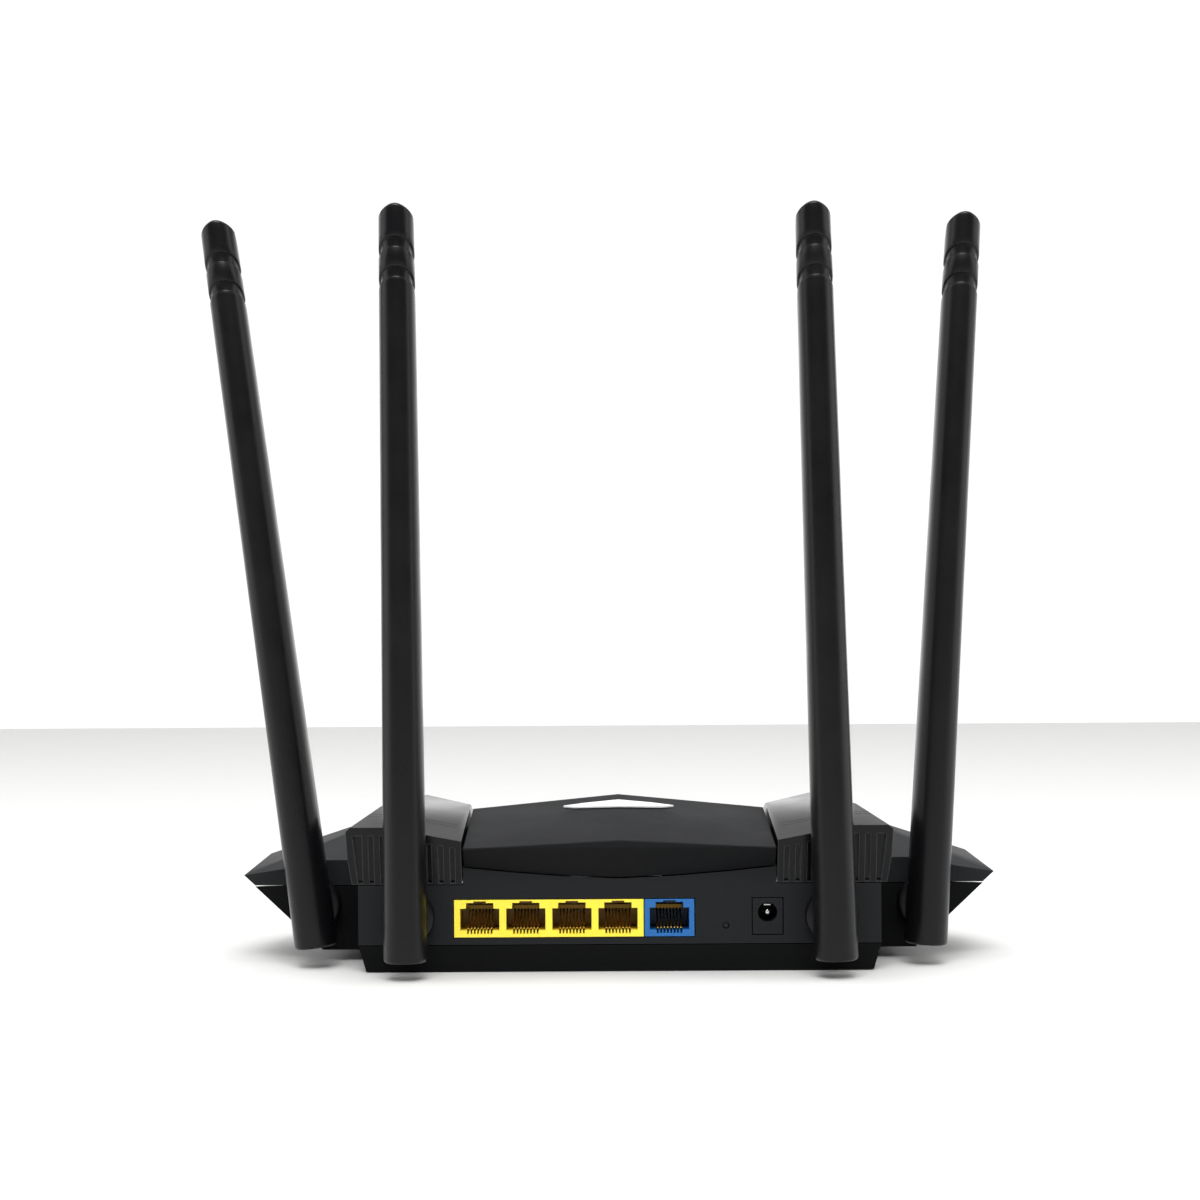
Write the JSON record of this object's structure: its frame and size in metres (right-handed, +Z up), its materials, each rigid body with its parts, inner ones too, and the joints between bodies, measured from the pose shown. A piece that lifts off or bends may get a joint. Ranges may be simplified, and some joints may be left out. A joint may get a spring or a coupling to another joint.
{
  "type": "wireless router",
  "caption": "Low wedge-shaped wireless router with winged sides, rear network and power sockets and tall antennas that swivel and fold.",
  "frame": {"origin": "on the table plane, under the middle of the bottom cover", "axes": "+Z up, +X to the right seen from the port side, ports face -Y"},
  "size_m": [0.2452, 0.1663, 0.2311],
  "materials": {
    "satin_black_case": "satin, finely textured",
    "lower_case_black": "matte, finely textured",
    "deck_black": "satin",
    "gloss_black": "piano gloss",
    "antenna_black": "satin",
    "jack_yellow": "semi-gloss",
    "jack_blue": "semi-gloss",
    "contact_gold": "plated",
    "bright_steel": "plain",
    "badge_silver": "satin",
    "clear_lens": "polished, translucent",
    "foot_rubber": "matte",
    "board_green": "solder mask",
    "component_black": "matte",
    "heat_sink_aluminium": "anodised",
    "antenna_copper": "bare copper",
    "cable_grey": "extruded jacket"
  },
  "bodies": {
    "root": {"bottom_cover": "lower_case_black", "top_cover": "satin_black_case", "deck_panel": "deck_black", "left_shoulder_cover": "gloss_black", "right_shoulder_cover": "gloss_black", "badge_strip": "badge_silver", "status_light_bar": "clear_lens", "light_guide": "clear_lens", "rear_left_foot": "foot_rubber", "front_left_foot": "foot_rubber", "rear_right_foot": "foot_rubber", "front_right_foot": "foot_rubber", "rear_left_case_screw": "bright_steel", "front_left_case_screw": "bright_steel", "rear_right_case_screw": "bright_steel", "front_right_case_screw": "bright_steel", "main_board": "board_green", "lan_jack_housing": "jack_yellow", "wan_jack_housing": "jack_blue", "lan_1_contacts": "contact_gold", "lan_2_contacts": "contact_gold", "lan_3_contacts": "contact_gold", "lan_4_contacts": "contact_gold", "wan_contacts": "contact_gold", "power_jack_body": "satin_black_case", "power_jack_pin": "bright_steel", "power_jack_spring": "bright_steel", "reset_switch_body": "component_black", "processor_chip": "component_black", "heat_sink": "heat_sink_aluminium", "radio_shield": "bright_steel", "lan_transformer": "component_black", "wan_transformer": "component_black", "bulk_capacitor": "heat_sink_aluminium", "outer_left_swivel_clip": "bright_steel", "inner_left_swivel_clip": "bright_steel", "inner_right_swivel_clip": "bright_steel", "outer_right_swivel_clip": "bright_steel", "outer_left_coax_lead": "cable_grey", "inner_left_coax_lead": "cable_grey", "inner_right_coax_lead": "cable_grey", "outer_right_coax_lead": "cable_grey"},
    "reset_button": {"reset_button": "component_black"},
    "outer_left_knuckle": {"outer_left_knuckle": "antenna_black", "outer_left_hinge_pin": "bright_steel"},
    "outer_left_blade": {"outer_left_blade": "antenna_black", "outer_left_radiator": "antenna_copper"},
    "inner_left_knuckle": {"inner_left_knuckle": "antenna_black", "inner_left_hinge_pin": "bright_steel"},
    "inner_left_blade": {"inner_left_blade": "antenna_black", "inner_left_radiator": "antenna_copper"},
    "inner_right_knuckle": {"inner_right_knuckle": "antenna_black", "inner_right_hinge_pin": "bright_steel"},
    "inner_right_blade": {"inner_right_blade": "antenna_black", "inner_right_radiator": "antenna_copper"},
    "outer_right_knuckle": {"outer_right_knuckle": "antenna_black", "outer_right_hinge_pin": "bright_steel"},
    "outer_right_blade": {"outer_right_blade": "antenna_black", "outer_right_radiator": "antenna_copper"}
  },
  "joints": [
    {"name": "reset_press", "type": "slide", "parent": "root", "child": "reset_button", "axis": [0, 1, 0], "range_m": [0, 0.00035], "stiffness_N_per_m": 1500},
    {"name": "outer_left_swivel", "type": "hinge", "parent": "root", "child": "outer_left_knuckle", "pos_m": [-0.095, -0.0575, 0.018], "axis": [0, -1, 0], "range_deg": [-17.5, 82.5]},
    {"name": "outer_left_fold", "type": "hinge", "parent": "outer_left_knuckle", "child": "outer_left_blade", "pos_m": [-0.09402, -0.0575, 0.01056], "axis": [0.9914, 0, 0.1305], "range_deg": [0, 90]},
    {"name": "inner_left_swivel", "type": "hinge", "parent": "root", "child": "inner_left_knuckle", "pos_m": [-0.064, -0.0855, 0.017], "axis": [0, -1, 0], "range_deg": [-14.4, 89.6]},
    {"name": "inner_left_fold", "type": "hinge", "parent": "inner_left_knuckle", "child": "inner_left_blade", "pos_m": [-0.06395, -0.0855, 0.0095], "axis": [1, 0, 0.007], "range_deg": [0, 90]},
    {"name": "inner_right_swivel", "type": "hinge", "parent": "root", "child": "inner_right_knuckle", "pos_m": [0.064, -0.0855, 0.017], "axis": [0, 1, 0], "range_deg": [-12.5, 91.5]},
    {"name": "inner_right_fold", "type": "hinge", "parent": "inner_right_knuckle", "child": "inner_right_blade", "pos_m": [0.0642, -0.0855, 0.0095], "axis": [0.9997, 0, 0.0262], "range_deg": [0, 90]},
    {"name": "outer_right_swivel", "type": "hinge", "parent": "root", "child": "outer_right_knuckle", "pos_m": [0.095, -0.0575, 0.018], "axis": [0, 1, 0], "range_deg": [-13.3, 86.7]},
    {"name": "outer_right_fold", "type": "hinge", "parent": "outer_right_knuckle", "child": "outer_right_blade", "pos_m": [0.09457, -0.0575, 0.01051], "axis": [0.9983, 0, -0.0576], "range_deg": [0, 90]}
  ]
}
